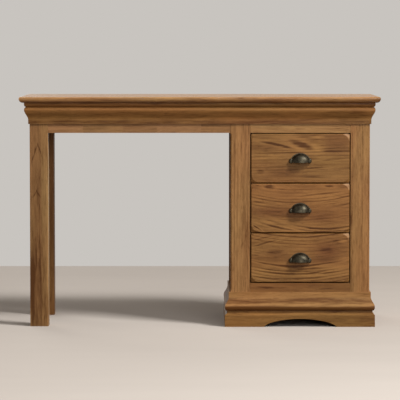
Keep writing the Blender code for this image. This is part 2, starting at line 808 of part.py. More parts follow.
def socket_cutters():
    """The holes in both ends of a drawer front for the tails, a glue line larger all round."""
    tip = FRONT_THICKNESS - TAIL_LENGTH
    mouth = FRONT_THICKNESS + TAIL_LENGTH / 2
    widen = TAIL_LENGTH / 2 * TAIL_SLOPE
    cutters = []
    for side in (-1, 1):
        start = side * (SIDE_INNER - GLUE_GAP)
        end = side * (FRONT_WIDTH / 2 + TAIL_LENGTH)
        for root_low, tip_low, tip_high, root_high in tails():
            outline = [
                (tip, tip_low - GLUE_GAP),
                (mouth, root_low + widen - GLUE_GAP),
                (mouth, root_high - widen + GLUE_GAP),
                (tip, tip_high + GLUE_GAP),
            ]
            cutters.append(straight_bar(0, outline, *sorted((start, end))))
    return cutters


def drawer_front():
    groove_floor = FRONT_THICKNESS - DRAWER_GROOVE_DEPTH
    reach = SIDE_INNER + DRAWER_GROOVE_DEPTH
    groove = box(
        (-reach, groove_floor, GROOVE_BOTTOM),
        (reach, FRONT_THICKNESS + DRAWER_GROOVE_DEPTH, GROOVE_TOP),
    )
    holes = [
        cylinder(
            (side * HANDLE_SCREW_SPACING / 2, CUP_BASE + EAR_LIFT),
            SCREW_HOLE_RADIUS,
            -FRONT_THICKNESS,
            2 * FRONT_THICKNESS,
            SCREW_STEPS,
        )
        for side in (-1, 1)
    ]
    return cut(drawer_front_blank(), *socket_cutters(), groove, *holes)


def drawer_side(side):
    """A drawer side with tails in front, a groove for the bottom and a housing for the back."""
    shoulder = FRONT_THICKNESS + GLUE_GAP
    tip = FRONT_THICKNESS - TAIL_LENGTH + GLUE_GAP
    top = DRAWER_SIDE_LIFT + DRAWER_SIDE_HEIGHT
    outline = [(DRAWER_SIDE_END, DRAWER_SIDE_LIFT), (shoulder, DRAWER_SIDE_LIFT)]
    for root_low, tip_low, tip_high, root_high in tails():
        outline += [(shoulder, root_low), (tip, tip_low), (tip, tip_high), (shoulder, root_high)]
    outline += [(shoulder, top), (DRAWER_SIDE_END, top)]
    blank = straight_bar(0, outline, *sorted((side * SIDE_INNER, side * FRONT_WIDTH / 2)))
    inward = side * (SIDE_INNER - DRAWER_SIDE_THICKNESS)
    groove = sorted((side * (SIDE_INNER + DRAWER_GROOVE_DEPTH), inward))
    housing = sorted((side * (SIDE_INNER + DRAWER_BACK_HOUSING), inward))
    return cut(
        blank,
        box(
            (groove[0], 0, GROOVE_BOTTOM),
            (groove[1], DRAWER_SIDE_END + FRONT_THICKNESS, GROOVE_TOP),
        ),
        box(
            (housing[0], FRONT_OF_DRAWER_BACK - GLUE_GAP, GROOVE_TOP - GLUE_GAP),
            (housing[1], BACK_OF_DRAWER_BACK + GLUE_GAP, top + DRAWER_SIDE_THICKNESS),
        ),
    )


def drawer_back():
    reach = SIDE_INNER + DRAWER_BACK_HOUSING - GLUE_GAP
    top = DRAWER_SIDE_LIFT + DRAWER_SIDE_HEIGHT - DRAWER_BACK_DROP
    return box((-reach, FRONT_OF_DRAWER_BACK, GROOVE_TOP), (reach, BACK_OF_DRAWER_BACK, top))


def drawer_bottom():
    reach = SIDE_INNER + DRAWER_GROOVE_DEPTH - GLUE_GAP
    front = FRONT_THICKNESS - DRAWER_GROOVE_DEPTH + GLUE_GAP
    low = GROOVE_BOTTOM + GLUE_GAP
    return box((-reach, front, low), (reach, BACK_OF_DRAWER_BACK, low + DRAWER_BOTTOM_THICKNESS))


def ellipsoid(half_width, height, projection):
    """An egg with its long axis along X, centred on the back of a handle's lower edge."""
    last = math.pi / 2 - CUP_TIP_ANGLE
    rings = []
    for step in range(CUP_STEPS + 1):
        turn = last * (2 * step / CUP_STEPS - 1)
        ring = []
        for side in range(CUP_ROUND_STEPS):
            rise = math.tau * (side + 0.5) / CUP_ROUND_STEPS
            depth = projection * math.cos(turn) * math.sin(rise)
            lift = height * math.cos(turn) * math.cos(rise)
            ring.append((half_width * math.sin(turn), depth, CUP_BASE + lift))
        rings.append(ring)
    return skin(rings)


def flange():
    """A thin plate behind the hood, a little wider than it, cut away later inside the hood."""
    outline = []
    for step in range(2 * CUP_STEPS):
        turn = math.pi * (step + 0.5) / CUP_STEPS
        across = (CUP_HALF_WIDTH + FLANGE_WIDTH) * math.cos(turn)
        outline.append((across, CUP_BASE + (CUP_HEIGHT + FLANGE_WIDTH) * math.sin(turn)))
    return straight_bar(1, outline, -FLANGE_THICKNESS - GLUE_GAP, FLANGE_THICKNESS)


def hood():
    """The shell of a handle: a quarter of an egg, hollow, open below and at the back."""
    outer = (CUP_HALF_WIDTH, CUP_HEIGHT, CUP_PROJECTION)
    inner = tuple(size - CUP_WALL for size in outer)
    room = CUP_HALF_WIDTH + FRONT_THICKNESS
    above = box((-room, -room, CUP_BASE), (room, -GLUE_GAP, CUP_BASE + room))
    solid = boolean(join(ellipsoid(*outer), flange()), [above], "INTERSECT")
    return cut(solid, ellipsoid(*inner))


def turned(centre, profile, steps, stretch=1.0):
    """A shape turned about an axis along Y from (radius, y) points, and stretched upwards."""
    rings = []
    for radius, depth in profile:
        turns = [math.tau * (step + 0.5) / steps for step in range(steps)]
        height = radius * stretch
        rings.append(
            [
                (centre[0] + radius * math.cos(turn), depth, centre[1] + height * math.sin(turn))
                for turn in turns
            ]
        )
    return skin(rings)


def ear(side):
    """The boss at one end of a handle, which its screw bites into from behind."""
    straight = EAR_DEPTH - EAR_CROWN
    profile = [(EAR_RADIUS, -GLUE_GAP), (EAR_RADIUS, -straight)]
    for step in range(1, BEAD_STEPS):
        turn = math.pi / 2 * step / BEAD_STEPS
        radius = EAR_RADIUS - EAR_CROWN * (1 - math.cos(turn))
        profile.append((radius, -straight - EAR_CROWN * math.sin(turn)))
    centre = (side * HANDLE_SCREW_SPACING / 2, CUP_BASE + EAR_LIFT)
    return turned(centre, profile, EAR_STEPS, EAR_STRETCH)


def cup_handle():
    bores = [
        cylinder(
            (side * HANDLE_SCREW_SPACING / 2, CUP_BASE + EAR_LIFT),
            SCREW_HOLE_RADIUS,
            -SCREW_GRIP - 2 * SCREW_CLEARANCE,
            EAR_DEPTH,
            SCREW_STEPS,
        )
        for side in (-1, 1)
    ]
    return cut(join(hood(), ear(-1), ear(1)), *bores)


def handle_screw(side):
    """A pan-headed screw: its head is inside the drawer, and its tip in the handle's ear."""
    seat = FRONT_THICKNESS + GLUE_GAP
    profile = [
        (SCREW_RADIUS - SCREW_TIP, -SCREW_GRIP),
        (SCREW_RADIUS, SCREW_TIP - SCREW_GRIP),
        (SCREW_RADIUS, seat),
        (SCREW_HEAD_RADIUS, seat),
        (SCREW_HEAD_RADIUS, seat + SCREW_HEAD_HEIGHT / 2),
        (SCREW_HEAD_RADIUS - SCREW_TIP, seat + SCREW_HEAD_HEIGHT),
    ]
    return turned((side * HANDLE_SCREW_SPACING / 2, CUP_BASE + EAR_LIFT), profile, SCREW_STEPS)


def drawers(oak, box_wood, panel, handle_metal, screw_metal):
    """Three drawers from one set of meshes, each on an empty that slides along Y."""
    pieces = (
        ("front", drawer_front(), oak, True),
        ("left_side", drawer_side(-1), box_wood, False),
        ("right_side", drawer_side(1), box_wood, False),
        ("back", drawer_back(), box_wood, False),
        ("bottom", drawer_bottom(), panel, False),
        ("cup_handle", cup_handle(), handle_metal, True),
        ("left_handle_screw", handle_screw(-1), screw_metal, True),
        ("right_handle_screw", handle_screw(1), screw_metal, True),
    )
    for index, name in enumerate(DRAWER_NAMES):
        slide = bpy.data.objects.new(f"{name}_drawer", None)
        slide.location = Vector((OPENING_CENTRE, DRAWER_FACE, front_bottom(index)))
        bpy.context.scene.collection.objects.link(slide)
        for piece, mesh, material, smooth in pieces:
            place(f"{name}_drawer_{piece}", mesh, material, parent=slide, smooth=smooth)


def main():
    clear_scene()
    oak = make_material("oak", (0.31, 0.17, 0.075), 0.45)
    box_wood = make_material("drawer_box_oak", (0.42, 0.28, 0.15), 0.6)
    panel = make_material("panel_board", (0.40, 0.27, 0.15), 0.6)
    handle_metal = make_material("aged_pewter", (0.10, 0.09, 0.07), 0.35, 1.0)
    screw_metal = make_material("steel_screw", (0.5, 0.5, 0.5), 0.4, 1.0)
    table_top(oak)
    cornice(oak)
    legs(oak)
    table_rails(oak)
    face_frame(oak)
    pedestal_box(oak, panel)
    base(oak)
    runners(box_wood)
    drawers(oak, box_wood, panel, handle_metal, screw_metal)


main()
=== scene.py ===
"""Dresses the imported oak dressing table: wood and metal materials, soft light and the camera."""

import math

import bpy
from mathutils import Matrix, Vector


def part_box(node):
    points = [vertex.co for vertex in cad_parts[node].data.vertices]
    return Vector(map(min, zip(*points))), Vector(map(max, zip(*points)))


# Camera, in metres, degrees and millimetres
CAMERA_PLACE = (0.0008, -8.932, 0.9888)
CAMERA_PITCH = 3.658
CAMERA_LENS = 232.64
CAMERA_SENSOR = 36.0
CAMERA_FAR = 60.0

# Stage and light
FLOOR_BACK = 2.10
FLOOR_REACH = 9.0
WALL_COLOUR = (200, 196, 191)
FLOOR_COLOUR = (196, 187, 178)
FLOOR_BOUNCE = (106, 90, 74)
FLOOR_CLOUD = (0.93, 0.93, 0.93, 1)
FLOOR_ROUGHNESS = 0.9
FLOOR_DEPTH = 0.0005
STUDIO_COLOUR = (1.0, 0.88, 0.76, 1)
STUDIO_LEVEL = 0.16
KEY_PLACE = (4.6, -3.6, 5.8)
KEY_TARGET = (0.0, 0.0, 0.40)
KEY_SIZE = 2.2
KEY_POWER = 720.0
OVERHEAD_PLACE = (-0.2, -1.3, 3.1)
OVERHEAD_TARGET = (0.0, 0.0, 0.45)
OVERHEAD_SIZE = 1.8
OVERHEAD_POWER = 8.0
FRONT_PLACE = (1.4, -5.0, 1.4)
FRONT_TARGET = (0.0, 0.0, 0.45)
FRONT_SIZE = 2.0
FRONT_POWER = 95.0
BACK_PLACE = (-2.4, 5.2, 3.8)
BACK_TARGET = (0.0, 0.0, 0.35)
BACK_SIZE = 3.0
BACK_POWER = 95.0

# Finish of edges, in metres and degrees
WELD_DISTANCE = 0.00001
EDGE_WIDTH = 0.0007
EDGE_SEGMENTS = 2
EDGE_ANGLE = 32.0
FACET_ANGLE = 13.5

# Every surface
SHADER_SAMPLES = 4
BUMP_STRENGTH = 0.6

# Wood: how strong each part of its figure, its wear and the painted shade in its crevices is, and lengths in
# metres
STRAND_STRENGTH = 1.8
FIBRE_STRENGTH = 0.6
CLOUD_STRENGTH = 0.8
FLECK_STRENGTH = 0.35
PORE_STRENGTH = 0.8
WEAR_STRENGTH = 0.7
WEAR_REACH = 0.0016
# Painted shade in crevices: how strong it is and how far it reaches
CREVICE_SHADE_STRENGTH = 0.4
CREVICE_SHADE_REACH = 0.002
GRAIN_DEPTH = 0.0004
PLANK_SHIFT = 0.021

# Wood: how its figure, its wear and painted light and shade change the board's own tone, as shares of it
DARK_WOOD_AND_SHADE = (0.38, 0.29, 0.20, 1)
LIGHT_WOOD_AND_HIGHLIGHT = (1.50, 1.54, 1.56, 1)
RED_WOOD = (1.02, 0.955, 0.94, 1)
GOLD_WOOD = (0.98, 1.03, 1.01, 1)
PORE_WOOD = (0.52, 0.46, 0.40, 1)
WORN_WOOD = (1.25, 1.27, 1.28, 1)
# Painted highlight on the upper corners of the drawer fronts
PAINTED_CORNER_HIGHLIGHT = (1.60, 1.95, 2.90, 1)
RED_PATCH = (0.42, 0.27, 0.27, 1)
CLEAR_PATCH = (1.42, 1.55, 1.50, 1)

# Tones of the boards, as display colours
TOP_TONE = (166, 120, 69)
CORNICE_TONE = (129, 89, 48)
APRON_TONE = (143, 104, 68)
APRON_DARK_TONE = (133, 95, 58)
STILE_TONE = (147, 107, 65)
RIGHT_STILE_TONE = (142, 102, 60)
DRAWER_TONE = (127, 88, 48)
RAIL_TONE = (119, 81, 43)
MOULDING_TONE = (148, 107, 62)
PLINTH_TONE = (127, 90, 46)
LEG_DARK_TONE = (127, 93, 57)
LEG_LIGHT_TONE = (139, 105, 65)
BACK_LEG_TONE = (120, 82, 46)
HIDDEN_TONE = (130, 90, 50)
BOX_TONE = (188, 158, 118)
PANEL_TONE = (168, 134, 94)

# Metal: tones of its dull and rubbed places as display colours, roughness, and lengths in metres
HANDLE_TONE = (36, 33, 27)
HANDLE_BRIGHT_TONE = (82, 76, 62)
HANDLE_ROUGHNESS = 0.44
SCREW_TONE = (120, 118, 114)
SCREW_BRIGHT_TONE = (190, 188, 182)
SCREW_ROUGHNESS = 0.36
METAL_DIRT = (0.35, 0.33, 0.30, 1)
METAL_WEAR_REACH = 0.0012
METAL_DIRT_REACH = 0.004
METAL_DEPTH = 0.0002


def linear(colour):
    """A display colour of 0 to 255 as the linear numbers that shaders take."""
    parts = []
    for value in colour:
        share = value / 255
        parts.append(share / 12.92 if share <= 0.04045 else ((share + 0.055) / 1.055) ** 2.4)
    return (*parts, 1.0)


def feed(tree, value, socket):
    """Joins a worked-out number or an output to a socket, or sets the socket to a plain value."""
    if isinstance(value, Number):
        value = value.socket
    if isinstance(value, bpy.types.NodeSocket):
        tree.links.new(value, socket)
    else:
        socket.default_value = value


class Number:
    """A number that a shader works out at each point, on which sums are written as usual."""

    def __init__(self, tree, socket):
        self.tree = tree
        self.socket = socket

    def sum(self, operation, *others, clamp=False):
        node = self.tree.nodes.new("ShaderNodeMath")
        node.operation = operation
        node.use_clamp = clamp
        for socket, value in zip(node.inputs, (self, *others)):
            feed(self.tree, value, socket)
        return Number(self.tree, node.outputs[0])

    def __add__(self, other):
        return self.sum("ADD", other)

    def __sub__(self, other):
        return self.sum("SUBTRACT", other)

    def __mul__(self, other):
        return self.sum("MULTIPLY", other)

    def __truediv__(self, other):
        return self.sum("DIVIDE", other)

    def __neg__(self):
        return self.sum("MULTIPLY", -1.0)

    def root(self):
        return self.sum("SQRT")

    def fraction(self):
        return self.sum("FRACT")

    def over(self, limit):
        """1 where the number is above the limit, and 0 elsewhere."""
        return self.sum("GREATER_THAN", limit)

    def clamped(self):
        return self.sum("ADD", 0.0, clamp=True)

    def smooth(self, low, high):
        """0 below low and 1 above high, with a soft change between them."""
        node = self.tree.nodes.new("ShaderNodeMapRange")
        node.interpolation_type = "SMOOTHSTEP"
        feed(self.tree, self, node.inputs["Value"])
        node.inputs["From Min"].default_value = low
        node.inputs["From Max"].default_value = high
        return Number(self.tree, node.outputs["Result"])

    def inverse(self):
        """1 less the number."""
        return (-self) + 1.0


def combine(tree, x, y, z):
    node = tree.nodes.new("ShaderNodeCombineXYZ")
    for socket, value in zip(node.inputs, (x, y, z)):
        feed(tree, value, socket)
    return node.outputs[0]


def noise(tree, vector, scales, detail=2.0, rough=0.55):
    """Noise from 0 to 1, with its own scale per metre along each axis of vector."""
    stretch = tree.nodes.new("ShaderNodeVectorMath")
    stretch.operation = "MULTIPLY"
    tree.links.new(vector, stretch.inputs[0])
    stretch.inputs[1].default_value = scales
    node = tree.nodes.new("ShaderNodeTexNoise")
    node.inputs["Scale"].default_value = 1.0
    node.inputs["Detail"].default_value = detail
    node.inputs["Roughness"].default_value = rough
    tree.links.new(stretch.outputs[0], node.inputs["Vector"])
    return Number(tree, node.outputs[0])


def mix(tree, share, first, second, blend="MIX"):
    """A colour that goes from first to second, or is blended with it, as share goes from 0 to 1."""
    node = tree.nodes.new("ShaderNodeMix")
    node.data_type = "RGBA"
    node.blend_type = blend
    colours = [socket for socket in node.inputs if socket.type == "RGBA"]
    feed(tree, share, node.inputs[0])
    feed(tree, first, colours[0])
    feed(tree, second, colours[1])
    return next(socket for socket in node.outputs if socket.type == "RGBA")


def stain(tree, colour, share, change):
    """The colour multiplied by a change, as far as share says."""
    return mix(tree, share, colour, change, "MULTIPLY")


def new_material(name):
    material = bpy.data.materials.new(name)
    material.use_nodes = True
    material.node_tree.nodes.clear()
    return material


def worn_edges(tree, radius):
    """1 on a rounded edge and 0 on a flat face, from how much a rounded normal departs there."""
    rounded = tree.nodes.new("ShaderNodeBevel")
    rounded.samples = SHADER_SAMPLES
    rounded.inputs["Radius"].default_value = radius
    plain = tree.nodes.new("ShaderNodeNewGeometry")
    dot = tree.nodes.new("ShaderNodeVectorMath")
    dot.operation = "DOT_PRODUCT"
    tree.links.new(rounded.outputs[0], dot.inputs[0])
    tree.links.new(plain.outputs["Normal"], dot.inputs[1])
    return Number(tree, dot.outputs["Value"]).inverse().smooth(0.02, 0.25)


def corner_highlight_mask(tree):
    """Where the painted highlight goes: 1 on the slope at a drawer front's upper right corner, which faces
    the light, less at the upper left, 0 elsewhere.
    """
    split = tree.nodes.new("ShaderNodeSeparateXYZ")
    tree.links.new(tree.nodes.new("ShaderNodeNewGeometry").outputs["Normal"], split.inputs[0])
    right = Number(tree, split.outputs["X"])
    sideways = right.sum("ABSOLUTE") * 0.75 + right * 0.25
    return (sideways * Number(tree, split.outputs["Z"])).smooth(0.03, 0.07)


def crevices(tree, reach):
    """1 deep in a corner or a joint and 0 in the open."""
    node = tree.nodes.new("ShaderNodeAmbientOcclusion")
    node.samples = SHADER_SAMPLES
    node.inputs["Distance"].default_value = reach
    return Number(tree, node.outputs["AO"]).inverse().smooth(0.25, 0.9)


def surface(tree, colour, roughness, height, depth, metallic=0.0, gloss=0.25):
    """Ends a material: a shader with its colour and roughness, and a bump as deep as depth in metres."""
    bump = tree.nodes.new("ShaderNodeBump")
    bump.inputs["Strength"].default_value = BUMP_STRENGTH
    bump.inputs["Distance"].default_value = depth
    feed(tree, height, bump.inputs["Height"])
    shader = tree.nodes.new("ShaderNodeBsdfPrincipled")
    shader.inputs["Metallic"].default_value = metallic
    shader.inputs["Specular IOR Level"].default_value = gloss
    feed(tree, colour, shader.inputs["Base Color"])
    feed(tree, roughness, shader.inputs["Roughness"])
    tree.links.new(bump.outputs[0], shader.inputs["Normal"])
    output = tree.nodes.new("ShaderNodeOutputMaterial")
    tree.links.new(shader.outputs[0], output.inputs["Surface"])


def board_space(tree, node, grain):
    """How far a point is along, across and below the face of a board, from the board's middle."""
    low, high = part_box(node)
    middle = (low + high) / 2
    split = tree.nodes.new("ShaderNodeSeparateXYZ")
    tree.links.new(tree.nodes.new("ShaderNodeTexCoord").outputs["Object"], split.inputs[0])
    parts = [Number(tree, socket) - middle[axis] for axis, socket in enumerate(split.outputs)]
    return [parts["xyz".index(axis)] for axis in grain]


def distance_out(along, across, place, size, slope, bow):
    """0 on the middle line of a long spot, which is sloped and bowed, and 1 at the spot's edge."""
    travel = along - place[0]
    run = travel / size[0]
    rise = ((across - place[1]) - travel * slope - travel * travel * bow) / size[1]
    return (run * run + rise * rise).root()


def wood(
    node,
    grain,
    tone,
    heart=(0.010, 0.110),
    ring=0.0110,
    taper=0.030,
    wobble=0.018,
    sag=(0.0, 0.0),
    seams=(),
    breaks=(),
    second_tone=None,
    streaks=(),
    halo=0.0,
    broken=0.8,
    patches=(),
    contrast=0.40,
    shades=(),
    corner_highlight=0.0,
    polish=0.44,
    gloss=0.12,
    seed=0.0,
):
    """A board's material: yearly rings of a tree cut by the board, with fibres, pores, wear and painted
    shade in its corners and joints.

    grain names the axes along the grain, across the face and through the board. heart is where the
    middle of the tree lies from the middle of the board. seams are glued joints across the face, and
    breaks are where one length of board ends and the next begins. A streak is its place, its half
    length and half width, its slope, its bow, and how dark it is, where below 0 is light; some streaks
    are painted shade and some a painted highlight. halo is how much lighter the wood is beside a
    streak, and broken is how much fibres break a streak up. A patch is soft: its place, its half
    length and half width, and how dark it is. Each of shades is painted shade: it darkens the board
    from one depth down to a lower one, where less light reaches. The argument after shades is how
    strong a painted highlight is on the upper corners of a drawer front.
    """
    material = new_material(node + "_wood")
    tree = material.node_tree
    along, across, depth = board_space(tree, node, grain)
    plank = along * 0.0
    for seam in seams:
        plank = plank + across.over(seam)
    block = along * 0.0
    for place in breaks:
        block = block + along.over(place)
    part = plank + block * 1.7
    far = along + part * 1.37 + seed
    point = combine(tree, far, across + part * 0.43, depth + seed)

    # Where a point lies among the rings
    slow = noise(tree, point, (2.2, 7.0, 7.0)) - 0.5
    fast = noise(tree, point, (7.0, 30.0, 30.0)) - 0.5
    strand = noise(tree, point, (13.0, 130.0, 130.0), 3.0, 0.65) - 0.5
    from_heart = across - heart[0] + plank * PLANK_SHIFT
    below_heart = depth - heart[1]
    field = (from_heart * from_heart + below_heart * below_heart).root()
    field = field + along * taper + slow * wobble + fast * (wobble * 0.30) + strand * 0.0025
    bend = along - sag[0]
    field = field + bend * bend * sag[1]

    # Bold rings, of which some fade out, and faint ones between them
    uneven = noise(tree, combine(tree, field, part, 0.0), (0.4 / ring, 1.0, 1.0)) - 0.5
    count = field / ring + uneven * 1.4 + part * 0.37
    turn = count.fraction()
    late = turn.smooth(0.52, 0.82) * turn.smooth(0.90, 0.99).inverse()
    bold = noise(tree, combine(tree, count, part, 5.0), (0.7, 1.0, 1.0)).smooth(0.44, 0.62)
    shown = noise(tree, point, (3.5, 18.0, 18.0)).smooth(0.38, 0.58)
    line = late * (bold * shown * 1.15 + 0.16)
    small_turn = (count * 3.3).fraction()
    small = small_turn.smooth(0.40, 0.85) * small_turn.smooth(0.90, 1.0).inverse()

    # Fibres, flecks, pores and soft changes of tone
    fibre = noise(tree, point, (16.0, 520.0, 520.0), 3.0) - 0.5
    fleck = noise(tree, point, (30.0, 230.0, 230.0), 1.0).smooth(0.58, 0.74)
    cloud = noise(tree, point, (4.0, 15.0, 15.0)) - 0.5
    hue = noise(tree, point, (2.4, 9.0, 9.0), 1.0).smooth(0.3, 0.7)
    early = turn.smooth(0.0, 0.08) * turn.smooth(0.25, 0.60).inverse()
    pore = noise(tree, point, (75.0, 2400.0, 2400.0), 1.0).smooth(0.56, 0.68) * (early * 0.8 + 0.2)

    dark = (line + small * 0.18 - early * shown * 0.28) * contrast
    dark = dark + fleck * FLECK_STRENGTH + strand * STRAND_STRENGTH
    dark = dark + fibre * FIBRE_STRENGTH + cloud * CLOUD_STRENGTH
    drift = fast * 0.010 + strand * 0.003
    # Streaks: marks of the figure, and on some boards painted shade or a painted highlight
    for place, size, slope, bow, strength in streaks:
        out = distance_out(along, across + drift, place, size, slope, bow)
        mark = out.smooth(0.2, 1.0).inverse() * (1.0 + halo) - out.smooth(0.8, 2.0).inverse() * halo
        dark = dark + mark * (strand * broken + 1.0) * strength
    # Painted shade: the board darker below each given depth, as on the underside of the top's nose
    for low, high, strength in shades:
        dark = dark + depth.smooth(low, high).inverse() * strength

    colour = linear(tone)
    if second_tone:
        colour = mix(tree, part.fraction() if breaks else plank.clamped(), colour, linear(second_tone))
    colour = stain(tree, colour, 1.0, mix(tree, hue, RED_WOOD, GOLD_WOOD))
    for place, size, strength in patches:
        out = distance_out(along, across + drift, place, size, 0.0, 0.0)
        share = out.smooth(0.0, 1.6).inverse() * abs(strength)
        colour = stain(tree, colour, share, CLEAR_PATCH if strength < 0.0 else RED_PATCH)
    # The figure darkens and lightens the wood here, and so do the painted shade and painted highlights of
    # some streaks and shades
    colour = stain(tree, colour, dark.clamped(), DARK_WOOD_AND_SHADE)
    colour = stain(tree, colour, (-dark).clamped(), LIGHT_WOOD_AND_HIGHLIGHT)
    colour = stain(tree, colour, pore * PORE_STRENGTH, PORE_WOOD)
    wear = worn_edges(tree, WEAR_REACH) * (cloud + 0.6).clamped()
    colour = stain(tree, colour, wear * WEAR_STRENGTH, WORN_WOOD)
    # Painted highlight on the upper corner slopes of a drawer front, strongest at the right, where the light
    # comes from
    if corner_highlight:
        colour = stain(tree, colour, corner_highlight_mask(tree) * corner_highlight, PAINTED_CORNER_HIGHLIGHT)
    # Painted shade in corners, joints and under overhangs
    colour = stain(tree, colour, crevices(tree, CREVICE_SHADE_REACH) * CREVICE_SHADE_STRENGTH, DARK_WOOD_AND_SHADE)

    roughness = (fibre * 0.10 + pore * 0.22 + cloud * 0.10 + polish) - wear * 0.06
    height = fibre * 0.5 - pore * 0.9 - line * 0.3
    surface(tree, colour, roughness, height, GRAIN_DEPTH, gloss=gloss)
    return material


def metal(name, tone, bright, rough):
    """Aged metal: mottled and pitted, brighter where hands rub its edges and darker in its corners."""
    material = new_material(name)
    tree = material.node_tree
    place = tree.nodes.new("ShaderNodeTexCoord").outputs["Object"]
    cloud = noise(tree, place, (90.0, 90.0, 90.0), 3.0)
    grain = noise(tree, place, (900.0, 900.0, 900.0), 2.0)
    pit = noise(tree, place, (1100.0, 1100.0, 1100.0), 1.0).smooth(0.62, 0.80) * 0.5
    wear = worn_edges(tree, METAL_WEAR_REACH) * cloud.smooth(0.35, 0.65)
    shade = (cloud - 0.5) * 1.6 + (grain - 0.5) * 0.6 + 0.35
    colour = mix(tree, shade.clamped(), linear(tone), linear(bright))
    colour = mix(tree, wear * 0.6, colour, linear(bright))
    dirt = crevices(tree, METAL_DIRT_REACH) * 0.7 + pit * 0.4
    colour = stain(tree, colour, dirt, METAL_DIRT)
    roughness = (grain - 0.5) * 0.2 + (cloud - 0.5) * 0.25 + rough
    surface(tree, colour, roughness, grain * 0.5 - pit, METAL_DEPTH, metallic=1.0)
    return material


def smooth_group(sharpest):
    """Geometry nodes that shade a mesh smooth, except across edges that turn by more degrees."""
    group = bpy.data.node_groups.new("smooth_by_angle", "GeometryNodeTree")
    group.interface.new_socket("Geometry", in_out="INPUT", socket_type="NodeSocketGeometry")
    group.interface.new_socket("Geometry", in_out="OUTPUT", socket_type="NodeSocketGeometry")
    start = group.nodes.new("NodeGroupInput")
    end = group.nodes.new("NodeGroupOutput")
    faces = group.nodes.new("GeometryNodeSetShadeSmooth")
    faces.domain = "FACE"
    edges = group.nodes.new("GeometryNodeSetShadeSmooth")
    edges.domain = "EDGE"
    angle = group.nodes.new("GeometryNodeInputMeshEdgeAngle")
    soft = group.nodes.new("FunctionNodeCompare")
    soft.data_type = "FLOAT"
    soft.operation = "LESS_THAN"
    soft.inputs["B"].default_value = math.radians(sharpest)
    group.links.new(angle.outputs["Unsigned Angle"], soft.inputs["A"])
    group.links.new(soft.outputs["Result"], edges.inputs["Shade Smooth"])
    group.links.new(start.outputs[0], faces.inputs["Geometry"])
    group.links.new(faces.outputs["Geometry"], edges.inputs["Geometry"])
    group.links.new(edges.outputs["Geometry"], end.inputs[0])
    return group


def ease_edges(piece, width, group):
    """Joins the piece's split corners, rounds its edges a little and shades its curves smooth."""
    weld = piece.modifiers.new("weld", "WELD")
    weld.merge_threshold = WELD_DISTANCE
    if width:
        bevel = piece.modifiers.new("eased_edges", "BEVEL")
        bevel.width = width
        bevel.segments = EDGE_SEGMENTS
        bevel.limit_method = "ANGLE"
        bevel.angle_limit = math.radians(EDGE_ANGLE)
    shade = piece.modifiers.new("smooth", "NODES")
    shade.node_group = group
    normals = piece.modifiers.new("flat_faces", "WEIGHTED_NORMAL")
    normals.keep_sharp = True


def paint(node, material):
    """Gives a CAD node its material, in the slots of the object and not of the mesh."""
    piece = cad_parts[node]
    for slot in piece.material_slots:
        slot.link = "OBJECT"
        slot.material = material
    return piece


def dress_top():
    seams = (-0.13, -0.02, 0.10)
    return {
        "table_top": wood(
            "table_top", "xyz", TOP_TONE, heart=(0.05, -0.10), seams=seams, contrast=0.25,
            # The shades are painted shade on the nose, darker towards its underside
            shades=((0.005, 0.0102, 0.35), (-0.010, 0.000, 0.40)), polish=0.28, gloss=0.4, seed=2.0,
        ),
    }


def dress_cornice():
    """Painted shadow darkens it close under the top, it is darker at its foot, and a painted highlight
    lightens its bead.
    """
    tone = CORNICE_TONE
    foot = ((0.0, -0.032), (3.0, 0.015), 0.0, 0.0, 0.55)
    # Painted highlight along the bead
    bead = ((0.0, 0.014), (3.0, 0.006), 0.0, 0.0, -0.42)
    # Painted shadow close under the top's nose
    shadow_under_top = ((0.0, 0.035), (3.0, 0.003), 0.0, 0.0, 0.65)
    look = {"heart": (0.03, 0.06), "contrast": 0.35, "streaks": (foot, bead, shadow_under_top)}
    return {
        "cornice_front": wood("cornice_front", "xzy", tone, seed=4.0, **look),
        "cornice_left": wood("cornice_left", "yzx", tone, seed=5.0, **look),
        "cornice_right": wood("cornice_right", "yzx", tone, seed=6.0, **look),
    }


def dress_legs():
    """The front leg is glued up from a dark wide board, with two arches in it, and a light narrow one; a
    painted highlight runs down its right arris, and painted shade partly darkens it low down.
    """
    streaks = (
        ((0.237, -0.005), (0.012, 0.0035), 0.0, 0.0, 0.70),
        ((0.207, -0.016), (0.045, 0.0035), 0.33, 0.0, 0.80),
        ((0.217, 0.003), (0.034, 0.0032), -0.36, 0.0, 0.70),
        ((0.073, -0.013), (0.018, 0.0035), 0.45, 0.0, 0.80),
        ((0.073, -0.003), (0.020, 0.0035), -0.60, 0.0, 0.80),
        ((0.045, -0.005), (0.060, 0.0110), 0.0, 0.0, 0.35),
        ((0.090, 0.000), (0.200, 0.0400), 0.0, 0.0, 0.12),
        ((-0.235, -0.022), (0.210, 0.0130), 0.0, 0.0, 0.85),
        # Darker towards the foot: partly the wood and partly painted shade
        ((-0.280, 0.000), (0.400, 0.0600), 0.0, 0.0, 0.50),
        ((-0.134, -0.010), (0.080, 0.0035), 0.0, 0.0, 0.60),
        ((-0.160, 0.002), (0.160, 0.0030), 0.0, 0.0, 0.45),
        # Painted highlight down the right arris, which faces the light
        ((0.000, 0.0310), (0.900, 0.0024), 0.0, 0.0, -0.60),
    )
    return {
        "front_left_leg": wood(
            "front_left_leg", "zxy", LEG_DARK_TONE, second_tone=LEG_LIGHT_TONE, seams=(0.0085,),
            heart=(-0.10, 0.05), taper=0.01, wobble=0.010, streaks=streaks, contrast=0.25, seed=8.0,
        ),
        "back_left_leg": wood(
            "back_left_leg", "zxy", BACK_LEG_TONE, seams=(0.005,), heart=(0.05, 0.04), seed=9.0
        ),
    }


